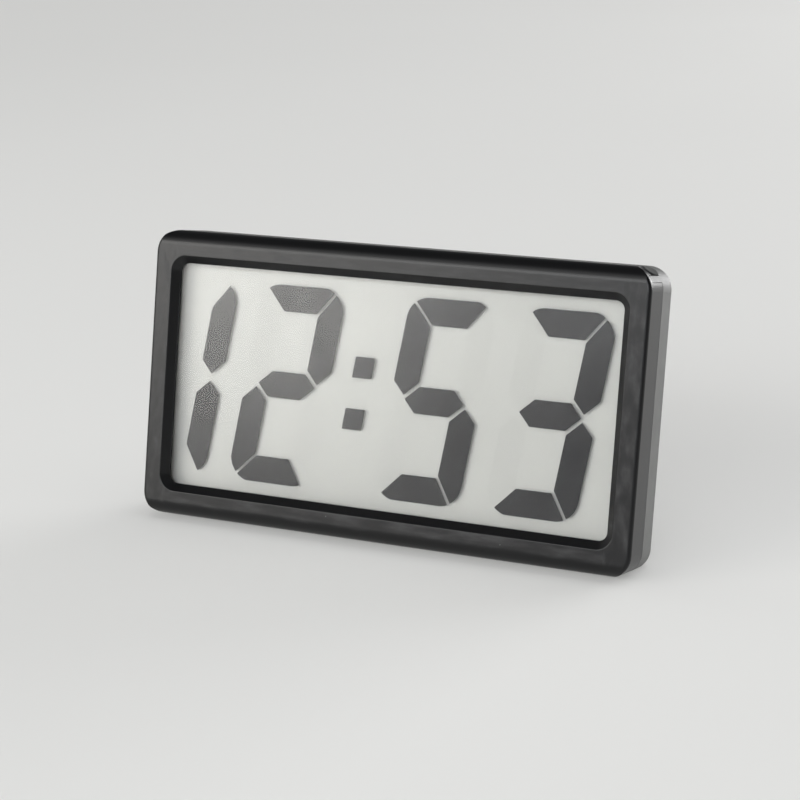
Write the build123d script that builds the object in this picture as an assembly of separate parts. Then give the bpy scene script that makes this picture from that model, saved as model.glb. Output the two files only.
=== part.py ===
from build123d import *
import os
from math import cos, radians, sin, sqrt, tan

# A slim desk clock with a large reflective display, in millimetres.
# Every piece is drawn on the upright case: X to the right, Y back from the front face, Z up along
# the face, with the middle of the face at the origin. The stance then leans the whole clock back.

# Window and the rails around it
window_width = 84.0
window_height = 40.0
window_corner_radius = 1.6
side_rail = 4.7
end_rail = 5.8
bevel_width = 1.3
bevel_depth = 1.3
bevel_edge_radius = 0.25
lip_land = 0.4

# Case walls and edges
case_corner_radius = 4.0
cavity_corner_radius = 1.5
edge_roll_radius = 2.6
side_edge_radius = 0.7
rear_edge_radius = 1.0
bezel_wall = 1.6
cover_wall = 2.0
cover_back = 1.5
seam_gap = 0.15
lean_angle = 12.0

# Spigot of the rear cover and the snap beads on it
spigot_depth = 1.2
spigot_setback = 1.05
spigot_root = 1.15
spigot_wall = 0.9
spigot_clearance = 0.1
bead_radius = 0.28
bead_length = 8.0
bead_inset = 17.0
bead_clearance = 0.08

# Corner tab of the rear cover and the scoop above it for a fingernail
tab_height = 1.0
tab_drop = 1.45
tab_front = 1.3
tab_clearance = 0.1
scoop_radius = 6.0
scoop_depth = 0.8
scoop_setback = 4.5
scoop_angle = 64.0

# Lens and its foam gasket
lens_thickness = 0.5
lens_overlap = 1.6
lens_clearance = 0.1
gasket_thickness = 0.15
gasket_reveal = 1.2
gasket_width = 1.1

# Display cell
glass_thickness = 0.55
glass_clearance = 0.6
glass_stop_gap = 0.05
glass_stop_clearance = 0.15
glass_stop_length = 12.0
glass_stop_inset = 19.1
ledge_height = 2.2
polariser_thickness = 0.2
film_margin = 0.25
cell_gap = 0.1
seal_width = 0.8
seal_margin = 0.2

# Digits
digit_top_gap = 2.45
digit_bottom_gap = 1.95
digit_left_gap = 1.35
digit_right_gap = 1.4
digit_spacing = 4.8
digit_stroke = 4.7
digit_slant = 8.35
segment_gap = 0.7
sharp_corner_width = 3.85
sharp_corner_height = 6.3
blunt_corner_width = 3.2
blunt_corner_height = 3.8
colon_left_gap = 4.15
colon_right_gap = 4.35
colon_rise = 4.6
colon_dot = 3.7
top_right_mitre_share = 0.68
top_left_mitre_share = 0.96
bottom_right_mitre_share = 0.71
bottom_left_mitre_share = 0.86
arc_middle_share = 1 - sqrt(0.5)
lit_letters = {1: "bc", 2: "abged", 3: "abgcd", 5: "afgcd"}
unlit_letters = {1: "", 2: "cf", 3: "ef", 5: "be"}

# Holder, board and connector
holder_thickness = 2.25
holder_clearance = 0.15
holder_corner_radius = 1.4
holder_side_rail = 13.95
holder_end_rail = 6.05
holder_middle_rail = 8.0
stake_radius = 0.75
stake_clearance = 0.05
stake_head_radius = 1.2
stake_head_height = 0.5
stake_inset = 4.0
connector_inset = 9.5
connector_clearance = 0.1
connector_spigot_gap = 0.3
board_thickness = 0.8
board_side_gap = 1.1
board_foot_gap = 0.2
board_well_gap = 0.35

# Parts on the board
blob_radius = 4.5
blob_height = 1.0
blob_drop = 0.55
crystal_radius = 1.0
crystal_length = 6.0
crystal_offset = 8.0
crystal_drop = 2.55
crystal_lead = 0.3
crystal_lead_reach = 0.9
chip_length = 2.0
chip_width = 1.25
chip_height = 0.6
chip_pitch = 2.5
chip_count = 5
chip_offset = 16.0
chip_drop = 0.55

# Buttons and their switches
button_radius = 2.0
button_clearance = 0.08
button_proud = 0.4
button_edge_radius = 0.3
button_flange_radius = 2.8
button_flange_height = 0.6
button_flange_gap = 0.05
button_stem_radius = 1.2
button_offset = 8.0
button_pitch = 10.0
button_drop = 8.1
switch_size = 4.5
switch_height = 1.5
switch_bore_radius = 1.0
switch_bore_depth = 0.7
switch_bore_clearance = 0.05
switch_travel_room = 0.35
plunger_proud = 0.5

# Coin cell, its well and its door
cell_radius = 10.0
cell_height = 3.2
cell_cap_step = 1.1
cell_cap_height = 0.2
cell_edge_radius = 0.3
well_clearance = 0.25
well_wall = 1.0
well_front_gap = 0.1
door_gap = 0.1
door_seat = 1.35
door_thickness = 1.1
door_clearance = 0.1
door_recess = 0.1
door_edge_margin = 0.5
door_edge_radius = 0.2
coin_slot_length = 13.0
coin_slot_width = 1.8
coin_slot_depth = 0.6
lug_reach = 0.9
lug_width = 4.0
lug_height = 0.55
lug_clearance = 0.1
lug_lift = 0.05
lug_turn = 45.0
rim_wall = 0.9
rim_floor = 1.2

# Battery contacts
contact_thickness = 0.2
contact_solder_length = 3.0
positive_width = 5.0
positive_riser_height = 2.8
positive_gap = 0.02
negative_width = 3.0
negative_inset = 4.0
negative_overrun = 1.0
contact_bump_radius = 0.8
contact_bump_height = 0.1
contact_slot_clearance = 0.3

# Stand
stand_margin = 29.7
stand_thickness = 1.6
stand_recess = 0.2
stand_floor_gap = 0.2
stand_side_gap = 0.3
stand_open_angle = 20.0
stand_corner_radius = 3.0
stand_stop_gap = 0.02
stand_rim_gap = 2.5
stand_groove_height = 1.0
stand_groove_depth = 0.4
stand_groove_rise = 4.0
stand_groove_inset = 7.0
trunnion_radius = 0.6
trunnion_length = 1.0
trunnion_clearance = 0.05
trunnion_end_gap = 0.2
pocket_wall = 1.8
pocket_floor = 1.0
pocket_top_gap = 0.25

# Ribs that press the board onto the connector
press_rib_width = 1.2
press_rib_height = 3.0
press_rib_inset = 5.0
press_rib_pitch = 9.0

# Overrun of every cut
cut = 1.0

# Outlines that follow from the sizes above
case_width = window_width + 2 * side_rail
case_height = window_height + 2 * end_rail
half_width = case_width / 2
half_height = case_height / 2
cavity_width = case_width - 2 * bezel_wall
cavity_height = case_height - 2 * bezel_wall
spigot_width = cavity_width - 2 * spigot_clearance
spigot_height = cavity_height - 2 * spigot_clearance
spigot_inner_width = spigot_width - 2 * spigot_wall
spigot_inner_height = spigot_height - 2 * spigot_wall
spigot_corner_radius = cavity_corner_radius - spigot_clearance
glass_width = cavity_width - 2 * glass_clearance
glass_stop_bottom = window_height / 2 + gasket_reveal + gasket_width + glass_stop_gap
glass_top = glass_stop_bottom - glass_stop_clearance
glass_bottom = -cavity_height / 2 + glass_clearance
ledge_top = glass_bottom + ledge_height
connector_length = glass_width - 2 * connector_inset

# Row of digits: half a digit, a whole one, the colon and two more fill the window between their gaps
digit_height = window_height - digit_top_gap - digit_bottom_gap
digit_row_z = (digit_bottom_gap - digit_top_gap) / 2
slant_reach = digit_height * tan(radians(digit_slant))
row_width = window_width - digit_left_gap - digit_right_gap - slant_reach
colon_space = colon_left_gap + colon_dot + colon_right_gap
digit_width = (row_width - digit_stroke - 2 * digit_spacing - colon_space) / 3
digit_pitch = digit_width + digit_spacing
minute_units_x = window_width / 2 - digit_right_gap - slant_reach / 2 - digit_width / 2
minute_tens_x = minute_units_x - digit_pitch
hour_units_x = minute_tens_x - digit_width - colon_space
hour_tens_x = hour_units_x - digit_pitch
colon_x = minute_tens_x - digit_width / 2 - colon_right_gap - colon_dot / 2

# Depths of the layers, from the front face backwards
lens_front = bevel_depth + lip_land
gasket_front = lens_front + lens_thickness
polariser_front = gasket_front + gasket_thickness
front_glass_front = polariser_front + polariser_thickness
cell_front = front_glass_front + glass_thickness
rear_glass_front = cell_front + cell_gap
reflector_front = rear_glass_front + glass_thickness
holder_front = reflector_front + polariser_thickness
board_front = holder_front + holder_thickness
board_back = board_front + board_thickness
bezel_depth = holder_front + spigot_setback + spigot_depth
cover_front = bezel_depth + seam_gap
spigot_front = bezel_depth - spigot_depth
well_front = board_front + well_front_gap
battery_front = board_back + contact_thickness + contact_bump_height
battery_back = battery_front + cell_height
door_front = battery_back + door_gap
door_back = door_front + door_thickness
case_depth = door_back + door_recess
back_wall_front = case_depth - cover_back

# Battery well and door
cell_cap_radius = cell_radius - cell_cap_step
negative_x = negative_inset - cell_radius
well_radius = cell_radius + well_clearance
well_outer_radius = well_radius + well_wall
door_radius = well_radius + door_seat
door_hole_radius = door_radius + door_clearance
lug_radius = door_radius + lug_reach
groove_radius = lug_radius + lug_clearance
rim_radius = groove_radius + rim_wall
groove_back = door_front + lug_lift + lug_height + lug_clearance
battery_z = half_height - rear_edge_radius - door_edge_margin - groove_radius
board_top = battery_z - well_outer_radius - board_well_gap
board_bottom = -spigot_inner_height / 2 + board_foot_gap
board_middle = (board_top + board_bottom) / 2
board_width = spigot_inner_width - 2 * board_side_gap

# Stand: the leg is as long as it takes to reach the surface under the foot when it is open
stand_width = case_width - 2 * stand_margin
hinge_y = case_depth - stand_recess - stand_thickness / 2
hinge_z = battery_z - groove_radius - stand_rim_gap
pocket_floor_y = hinge_y - stand_thickness / 2 - stand_floor_gap
pocket_width = stand_width + 2 * stand_side_gap
pocket_shell_width = pocket_width + 2 * pocket_wall
tip_radius = stand_thickness / 2
lean = radians(lean_angle)
opening = radians(stand_open_angle)
hinge_height = cos(lean) * (hinge_z + half_height) - sin(lean) * (hinge_y - cover_front)
leg_length = (hinge_height - tip_radius) / cos(opening - lean)
heel_room = hinge_y - pocket_floor_y - stand_stop_gap
heel_height = (heel_room - tip_radius * cos(opening)) / sin(opening)
pocket_top = hinge_z + sqrt(tip_radius**2 + heel_height**2) + pocket_top_gap

# Buttons
button_z = board_top - button_drop
button_places = [pocket_shell_width / 2 + button_offset + index * button_pitch for index in range(2)]
switch_back = board_back + switch_height
plunger_back = switch_back + plunger_proud
flange_back = back_wall_front - button_flange_gap

# The stance: the foot lies on the surface, and the clock's footprint is centred
front_reach = edge_roll_radius * cos(lean) - (half_height - edge_roll_radius) * sin(lean) - edge_roll_radius
rear_arc_y = case_depth - rear_edge_radius
rear_arc_z = half_height - rear_edge_radius
rear_reach = rear_arc_y * cos(lean) + rear_arc_z * sin(lean) + rear_edge_radius
foot_height = half_height * cos(lean) + cover_front * sin(lean)
stance = Pos(0, -(front_reach + rear_reach) / 2, foot_height) * Rot(X=-lean_angle)


def slab(outline, front, thickness):
    """An outline in the plane of the face, extruded backwards from its front depth."""
    return extrude(Plane.XZ.offset(-front) * outline, amount=thickness, dir=(0, 1, 0))


def block(x_range, y_range, z_range):
    """A box between two limits along each axis."""
    sizes = [high - low for low, high in (x_range, y_range, z_range)]
    middle = [(high + low) / 2 for low, high in (x_range, y_range, z_range)]
    return Pos(*middle) * Box(*sizes)


def disc(radius, x, z, front, thickness):
    """A round plate or plug parallel to the face."""
    return slab(Pos(x, z) * Circle(radius), front, thickness)


def rod_along_x(radius, length, x, y, z):
    """A round rod across the clock, about the middle that is given."""
    return Pos(x, y, z) * Rot(Y=90) * Cylinder(radius, length)


def case_outline(width, height, radius):
    """A rounded rectangle about the middle of the face."""
    return RectangleRounded(width, height, radius)


def frame_slab(outer, inner, front, thickness):
    """A flat ring between two outlines."""
    return slab(outer - inner, front, thickness)


def bezel_envelope(depth):
    """The outer form of the front to a depth: rolled top and bottom edges, finely rounded sides."""
    prism = slab(case_outline(case_width, case_height, case_corner_radius), 0, depth)
    prism = fillet(prism.faces().sort_by(Axis.Y)[0].edges(), side_edge_radius)
    profile = Pos(depth, 0) * Rectangle(2 * depth, case_height)
    profile = fillet(profile.vertices().group_by(Axis.X)[0], edge_roll_radius)
    rolled = extrude(Plane.YZ * profile, amount=case_width, both=True)
    return prism & rolled


def scoop_cutter():
    """The part ball that leaves the fingernail scoop over the right tab, across the seam."""
    angle = radians(scoop_angle)
    reach = case_corner_radius - scoop_depth + scoop_radius
    x = half_width - case_corner_radius + reach * cos(angle)
    z = half_height - case_corner_radius + reach * sin(angle)
    ball = Pos(x, scoop_setback, z) * Sphere(scoop_radius)
    above_tab = (half_height - tab_drop, half_height + reach + scoop_radius)
    return ball & block((0, case_width + scoop_radius), (-scoop_radius, case_depth), above_tab)


def tab_spaces(clearance):
    """The slots through both side walls in which the cover's corner tabs lie."""
    top = half_height - tab_drop + clearance
    bottom = half_height - tab_drop - tab_height - clearance
    depth = (tab_front - clearance, cover_front + spigot_root)
    inner = half_width - case_corner_radius
    spaces = []
    for side in (-1, 1):
        limits = sorted((side * inner, side * (half_width + cut)))
        spaces.append(block(limits, depth, (bottom, top)))
    return spaces


def corner_tabs():
    """The cover's tabs, flush with the side walls on both sides of the seam."""
    depth = cover_front + spigot_root
    hollow = slab(case_outline(cavity_width, cavity_height, cavity_corner_radius), 0, depth)
    walls = bezel_envelope(depth) - hollow
    return [walls & space for space in tab_spaces(0)]


def snap_beads(radius, length):
    """Half-sunk beads round the spigot, one on each side and two along the top and bottom."""
    depth = spigot_front + spigot_depth / 2
    beads = []
    for side in (-1, 1):
        for end in (-1, 1):
            middle = side * (spigot_width / 2 - bead_inset)
            beads.append(rod_along_x(radius, length, middle, depth, end * spigot_height / 2))
        beads.append(Pos(side * spigot_width / 2, depth, 0) * Cylinder(radius, length))
    return beads


def front_bezel():
    """The front frame with its bevelled window, lens seat, display stops and snap grooves."""
    window = case_outline(window_width, window_height, window_corner_radius)
    mouth = case_outline(
        window_width + 2 * bevel_width, window_height + 2 * bevel_width, window_corner_radius + bevel_width
    )
    bevel = loft([(Plane.XZ * mouth).face(), (Plane.XZ.offset(-bevel_depth) * window).face()], ruled=True)
    land = slab(window, 0, lens_front + cut)
    lens_reach = 2 * (lens_overlap + lens_clearance)
    seat_outline = case_outline(window_width + lens_reach, window_height + lens_reach, window_corner_radius)
    seat = slab(seat_outline, lens_front, cut)
    cavity = slab(case_outline(cavity_width, cavity_height, cavity_corner_radius), gasket_front, bezel_depth)
    body = bezel_envelope(bezel_depth) - [bevel, land, seat, cavity]
    face_edges = body.edges().group_by(Axis.Y)[0]
    reach = window_height / 2 + bevel_width + bevel_edge_radius
    body = fillet(face_edges.filter_by_position(Axis.Z, -reach, reach), bevel_edge_radius)
    stop_top = cavity_height / 2 + bezel_wall / 2
    stops = []
    for side in (-1, 1):
        middle = side * (cavity_width / 2 - glass_stop_inset)
        reach = (middle - glass_stop_length / 2, middle + glass_stop_length / 2)
        stops.append(block(reach, (gasket_front, reflector_front), (glass_stop_bottom, stop_top)))
    grooves = snap_beads(bead_radius + bead_clearance, bead_length + 2 * bead_clearance)
    return body + stops - grooves - tab_spaces(tab_clearance) - scoop_cutter()


def cover_envelope():
    """The outer form of the rear shell, with its rear edge rounded and its foot cut to the lean."""
    outline = case_outline(case_width, case_height, case_corner_radius)
    prism = slab(outline, cover_front, case_depth - cover_front)
    prism = fillet(prism.faces().sort_by(Axis.Y)[-1].edges(), rear_edge_radius)
    rise = (case_depth + cut - cover_front) * tan(lean)
    foot_points = [
        (cover_front - cut, -half_height - cut),
        (case_depth + cut, -half_height - cut),
        (case_depth + cut, -half_height + rise),
        (cover_front - cut, -half_height - cut * tan(lean)),
    ]
    wedge = make_face(Polyline(*foot_points, close=True))
    return prism - extrude(Plane.YZ * wedge, amount=case_width, both=True)


def door_recess_cuts():
    """The stepped hole for the battery door, its lug groove and the two entry slots."""
    hole = disc(door_hole_radius, 0, battery_z, door_front, door_thickness + cut)
    groove = disc(groove_radius, 0, battery_z, door_front, groove_back - door_front)
    entry = Rectangle(2 * groove_radius, lug_width + 2 * lug_clearance) & Circle(groove_radius)
    entry = Pos(0, battery_z) * Rot(Z=-lug_turn) * entry
    return [hole, groove, slab(entry, door_front, door_thickness + cut)]


def contact_slots():
    """Slots in the well's floor and wall through which the two contacts reach the cell."""
    low = battery_z - well_outer_radius - cut
    depth = (well_front - cut, battery_front + cell_cap_height)
    negative_half = negative_width / 2 + contact_slot_clearance
    negative_top = battery_z + negative_overrun + contact_slot_clearance
    negative = block((negative_x - negative_half, negative_x + negative_half), depth, (low, negative_top))
    positive_half = positive_width / 2 + contact_slot_clearance
    positive_back = board_back + positive_riser_height + contact_slot_clearance
    positive_top = battery_z - cell_radius + well_clearance
    positive = block((-positive_half, positive_half), (well_front - cut, positive_back), (low, positive_top))
    return [negative, positive]


def rear_cover():
    """The rear shell: spigot, tabs, battery well, stand pocket, button holes and press ribs."""
    envelope = cover_envelope()
    cavity_outline = case_outline(
        case_width - 2 * cover_wall, case_height - 2 * cover_wall, case_corner_radius - cover_wall
    )
    shell = envelope - slab(cavity_outline, cover_front - cut, back_wall_front - cover_front + cut)
    spigot = frame_slab(
        case_outline(spigot_width, spigot_height, spigot_corner_radius),
        case_outline(spigot_inner_width, spigot_inner_height, spigot_corner_radius - spigot_wall),
        spigot_front,
        cover_front + spigot_root - spigot_front,
    )
    well = disc(well_outer_radius, 0, battery_z, well_front, case_depth - well_front)
    rim = disc(rim_radius, 0, battery_z, door_front - rim_floor, case_depth - door_front + rim_floor)
    pocket_shell = block(
        (-pocket_shell_width / 2, pocket_shell_width / 2),
        (pocket_floor_y - pocket_floor, case_depth),
        (-half_height, pocket_top + pocket_floor),
    )
    solids = [spigot, well & envelope, rim & envelope, pocket_shell & envelope]
    body = shell + solids + press_ribs() + snap_beads(bead_radius, bead_length) + corner_tabs()
    well_bore = disc(well_radius, 0, battery_z, battery_front, cell_height + door_gap)
    pocket = block(
        (-pocket_width / 2, pocket_width / 2),
        (pocket_floor_y, case_depth + cut),
        (-half_height - cut, pocket_top),
    )
    trunnion_span = pocket_width + 2 * (trunnion_length - stand_side_gap + trunnion_end_gap)
    sockets = rod_along_x(trunnion_radius + trunnion_clearance, trunnion_span, 0, hinge_y, hinge_z)
    hole_radius = button_radius + button_clearance
    depth = cover_back + 2 * cut
    holes = [disc(hole_radius, x, button_z, back_wall_front - cut, depth) for x in button_places]
    return body - [well_bore, pocket, sockets, scoop_cutter()] - door_recess_cuts() - contact_slots() - holes


def press_ribs():
    """Ribs from the back wall to the board, two on each side of the stand's pocket."""
    ribs = []
    for side in (-1, 1):
        for index in range(2):
            x = side * (pocket_shell_width / 2 + press_rib_inset + index * press_rib_pitch)
            reach = (x - press_rib_width / 2, x + press_rib_width / 2)
            depth = (board_back, back_wall_front + cover_back / 2)
            ribs.append(block(reach, depth, (board_bottom, board_bottom + press_rib_height)))
    return ribs


def window_lens():
    """The clear pane behind the window's lip."""
    reach = 2 * lens_overlap
    outline = case_outline(window_width + reach, window_height + reach, window_corner_radius)
    return slab(outline, lens_front, lens_thickness)


def lens_gasket():
    """The foam frame between the lens and the display."""
    reach = 2 * gasket_reveal
    inner = case_outline(window_width + reach, window_height + reach, window_corner_radius)
    reach = 2 * (gasket_reveal + gasket_width)
    outer = case_outline(window_width + reach, window_height + reach, window_corner_radius + gasket_width)
    return frame_slab(outer, inner, gasket_front, gasket_thickness)


def display_outline(margin, bottom):
    """The display's rectangle above a lower edge, drawn in from its other edges by a margin."""
    height = glass_top - bottom - 2 * margin
    return Pos(0, (glass_top + bottom) / 2) * Rectangle(glass_width - 2 * margin, height)


def front_polariser():
    """The film on the display's front glass."""
    return slab(display_outline(film_margin, ledge_top), polariser_front, polariser_thickness)


def front_glass():
    """The front pane, whose contact ledge reaches below the rear pane."""
    return slab(display_outline(0, glass_bottom), front_glass_front, glass_thickness)


def display_seal():
    """The glue ring between the two panes."""
    inner = display_outline(seal_margin + seal_width, ledge_top)
    return frame_slab(display_outline(seal_margin, ledge_top), inner, cell_front, cell_gap)


def rear_glass():
    """The rear pane."""
    return slab(display_outline(0, ledge_top), rear_glass_front, glass_thickness)


def rear_reflector():
    """The silver film behind the rear pane."""
    return slab(display_outline(film_margin, ledge_top), reflector_front, polariser_thickness)


def slanted(x, z):
    """A point of an upright digit, leaned over to the right."""
    return (x + z * tan(radians(digit_slant)), z)


def slanted_face(points):
    """A flat face through points of an upright digit."""
    return make_face(Polyline(*[slanted(x, z) for x, z in points], close=True))


def digit_outline():
    """The outer form of a digit, with its four corners rounded."""
    a = digit_width / 2
    b = digit_height / 2
    lines = []
    corners = [(1, 1), (1, -1), (-1, -1), (-1, 1)]
    ends = []
    for index, (right, up) in enumerate(corners):
        width, height = (sharp_corner_width, sharp_corner_height)
        if right != up:
            width, height = (blunt_corner_width, blunt_corner_height)
        on_end = (right * (a - width), up * b)
        on_side = (right * a, up * (b - height))
        middle_x = right * (a - width * arc_middle_share)
        middle_z = up * (b - height * arc_middle_share)
        first, last = (on_end, on_side) if index % 2 == 0 else (on_side, on_end)
        lines.append(ThreePointArc(slanted(*first), slanted(middle_x, middle_z), slanted(*last)))
        ends.append((slanted(*first), slanted(*last)))
    for index, (first, last) in enumerate(ends):
        lines.append(Line(last, ends[(index + 1) % len(ends)][0]))
    return make_face(Wire(lines))


def end_points(left_mitre, right_mitre):
    """The top segment of an upright digit, between the mitre cuts at its ends."""
    a = digit_width / 2 - digit_stroke
    b = digit_height / 2
    e = segment_gap / 2
    return [
        (-a + e, b - digit_stroke),
        (a - e, b - digit_stroke),
        (a + right_mitre * digit_stroke - e, b),
        (-a - left_mitre * digit_stroke + e, b),
    ]


def side_points(mitre):
    """The upper right segment of an upright digit, under its mitre cut."""
    a = digit_width / 2
    b = digit_height / 2
    s = digit_stroke
    e = segment_gap / 2
    return [
        (a - s, b - s - e / mitre),
        (a - s + mitre * s + e, b),
        (a, b),
        (a, s / 2 + 2 * e),
        (a - s / 2, 2 * e),
        (a - s, s / 2 + 2 * e),
    ]


def digit_segments():
    """The seven segment faces of one digit about its middle, under their usual letters."""
    tip = (digit_width - digit_stroke - segment_gap) / 2
    half = digit_stroke / 2
    inset = tip - half
    lower_end = end_points(bottom_left_mitre_share, bottom_right_mitre_share)
    outlines = {
        "a": end_points(top_left_mitre_share, top_right_mitre_share),
        "b": side_points(top_right_mitre_share),
        "c": [(x, -z) for x, z in side_points(bottom_right_mitre_share)],
        "d": [(x, -z) for x, z in lower_end],
        "e": [(-x, -z) for x, z in side_points(bottom_left_mitre_share)],
        "f": [(-x, z) for x, z in side_points(top_left_mitre_share)],
        "g": [(-tip, 0), (-inset, half), (inset, half), (tip, 0), (inset, -half), (-inset, -half)],
    }
    rounded = digit_outline()
    return {letter: slanted_face(points) & rounded for letter, points in outlines.items()}


def segment_plates(letters):
    """Thin plates in the cell for the segments that a table gives each digit of the time."""
    shapes = digit_segments()
    time_shown = [(1, hour_tens_x), (2, hour_units_x), (5, minute_tens_x), (3, minute_units_x)]
    plates = []
    for number, x in time_shown:
        for letter in letters[number]:
            plates.append(slab(Pos(x, digit_row_z) * shapes[letter], cell_front, cell_gap))
    return plates


def display_segments():
    """The dark segments of the time and the colon."""
    plates = segment_plates(lit_letters)
    h = colon_dot / 2
    for rise in (-colon_rise, colon_rise):
        corners = [(-h, rise - h), (h, rise - h), (h, rise + h), (-h, rise + h)]
        plates.append(slab(Pos(colon_x, digit_row_z) * slanted_face(corners), cell_front, cell_gap))
    return Compound([plate.solid() for plate in plates])


def unlit_segments():
    """The segments that are switched off and show only faintly."""
    return Compound([plate.solid() for plate in segment_plates(unlit_letters)])


def stake_places():
    """The four posts that fix the board to the holder."""
    x = board_width / 2 - stake_inset
    heights = (board_top - stake_inset, board_bottom + stake_inset)
    return [(side * x, z) for side in (-1, 1) for z in heights]


def display_holder():
    """The inner frame behind the display, with a notch for the connector and staked posts."""
    width = spigot_inner_width - 2 * holder_clearance
    height = spigot_inner_height - 2 * holder_clearance
    plate = slab(case_outline(width, height, holder_corner_radius), holder_front, holder_thickness)
    opening_width = width - 2 * holder_side_rail
    opening_height = (height - holder_middle_rail) / 2 - holder_end_rail
    rise = (holder_middle_rail + opening_height) / 2
    openings = []
    for up in (-1, 1):
        opening = Pos(0, up * rise) * Rectangle(opening_width, opening_height)
        openings.append(slab(opening, holder_front - cut, holder_thickness + 2 * cut))
    notch_half = connector_length / 2 + connector_clearance
    notch = block(
        (-notch_half, notch_half),
        (holder_front - cut, board_front + cut),
        (-half_height, ledge_top),
    )
    posts = []
    root = holder_thickness / 2
    for x, z in stake_places():
        posts.append(disc(stake_radius, x, z, board_front - root, root + board_thickness))
        posts.append(disc(stake_head_radius, x, z, board_back, stake_head_height))
    return plate - openings - notch + posts


def elastomer_connector():
    """The conductive rubber strip from the display's ledge back to the board."""
    bottom = -spigot_inner_height / 2 + connector_spigot_gap
    return block(
        (-connector_length / 2, connector_length / 2),
        (cell_front, board_front),
        (bottom, ledge_top - connector_clearance),
    )


def circuit_board():
    """The board, below the battery well."""
    board = block((-board_width / 2, board_width / 2), (board_front, board_back), (board_bottom, board_top))
    hole_radius = stake_radius + stake_clearance
    depth = board_thickness + 2 * cut
    return board - [disc(hole_radius, x, z, board_front - cut, depth) for x, z in stake_places()]


def controller_blob():
    """The epoxy drop over the bare chip."""
    radius = (blob_radius**2 + blob_height**2) / (2 * blob_height)
    z = board_middle - blob_drop
    ball = Pos(0, board_back + blob_height - radius, z) * Sphere(radius)
    return ball & disc(blob_radius + cut, 0, z, board_back, blob_height + cut)


def quartz_crystal():
    """The crystal's can, lying on the board, with two bent leads."""
    x = -(pocket_shell_width / 2 + crystal_offset)
    y = board_back + crystal_radius
    middle = board_middle - crystal_drop
    can = rod_along_x(crystal_radius, crystal_length, x, y, middle)
    end = x + crystal_length / 2
    leads = []
    for side in (-1, 1):
        z = middle + side * crystal_radius / 2
        height = (z - crystal_lead / 2, z + crystal_lead / 2)
        depth = (y - crystal_lead / 2, y + crystal_lead / 2)
        leads.append(block((end - crystal_lead, end + crystal_lead_reach), depth, height))
        foot = (end + crystal_lead_reach - crystal_lead, end + crystal_lead_reach)
        leads.append(block(foot, (board_back, y), height))
    return can + leads


def chip_components():
    """Small capacitors and resistors in a row on the board."""
    x = -(pocket_shell_width / 2 + chip_offset)
    depth = (board_back, board_back + chip_height)
    first = board_middle - chip_drop + chip_pitch * (chip_count - 1) / 2
    chips = []
    for index in range(chip_count):
        z = first - index * chip_pitch
        height = (z - chip_width / 2, z + chip_width / 2)
        chips.append(block((x - chip_length / 2, x + chip_length / 2), depth, height))
    return Compound([chip.solid() for chip in chips])


def switch_bodies():
    """The two push switches on the board, without their plungers."""
    half = switch_size / 2
    bodies = []
    for x in button_places:
        body = block((x - half, x + half), (board_back, switch_back), (button_z - half, button_z + half))
        bore = disc(switch_bore_radius, x, button_z, switch_back - switch_bore_depth, switch_bore_depth + cut)
        bodies.append(body - bore)
    return Compound([body.solid() for body in bodies])


def switch_plunger(x):
    """The moving plunger of one switch."""
    front = switch_back - switch_bore_depth + switch_travel_room
    return disc(switch_bore_radius - switch_bore_clearance, x, button_z, front, plunger_back - front)


def push_button(x):
    """A button: cap through the cover, flange behind the wall, stem onto the plunger."""
    cap_back = case_depth + button_proud
    cap = disc(button_radius, x, button_z, flange_back, cap_back - flange_back)
    cap = fillet(cap.faces().sort_by(Axis.Y)[-1].edges(), button_edge_radius)
    flange = disc(button_flange_radius, x, button_z, flange_back - button_flange_height, button_flange_height)
    stem = disc(button_stem_radius, x, button_z, plunger_back, flange_back - plunger_back)
    return cap + flange + stem


def coin_cell():
    """The coin cell, its smaller negative cap to the front."""
    can_front = battery_front + cell_cap_height
    can = disc(cell_radius, 0, battery_z, can_front, battery_back - can_front)
    can = fillet(can.faces().sort_by(Axis.Y)[-1].edges(), cell_edge_radius)
    return can + disc(cell_cap_radius, 0, battery_z, battery_front, cell_cap_height + cell_edge_radius)


def battery_contact_positive():
    """The strip from the board that bends back along the rim of the cell."""
    reach = (-positive_width / 2, positive_width / 2)
    top = battery_z - cell_radius - positive_gap
    foot_depth = (board_back, board_back + contact_thickness)
    foot = block(reach, foot_depth, (board_top - contact_solder_length, top))
    riser = block(reach, (board_back, board_back + positive_riser_height), (top - contact_thickness, top))
    return foot + riser


def battery_contact_negative():
    """The strip from the board under the cell, with a raised bump."""
    reach = (negative_x - negative_width / 2, negative_x + negative_width / 2)
    top = battery_z + negative_overrun
    strip_back = board_back + contact_thickness
    strip = block(reach, (board_back, strip_back), (board_top - contact_solder_length, top))
    bump = disc(contact_bump_radius, negative_x, battery_z, board_back, battery_front - board_back)
    return strip + bump


def battery_door():
    """The round door with its coin slot and two bayonet lugs."""
    plate = disc(door_radius, 0, battery_z, door_front, door_thickness)
    plate = fillet(plate.faces().sort_by(Axis.Y)[-1].edges(), door_edge_radius)
    bar = Rectangle(2 * lug_radius, lug_width) & Circle(lug_radius)
    lugs = slab(Pos(0, battery_z) * bar, door_front + lug_lift, lug_height)
    slot = Pos(0, battery_z) * SlotOverall(coin_slot_length, coin_slot_width)
    return plate + lugs - slab(slot, door_back - coin_slot_depth, coin_slot_depth + cut)


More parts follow.
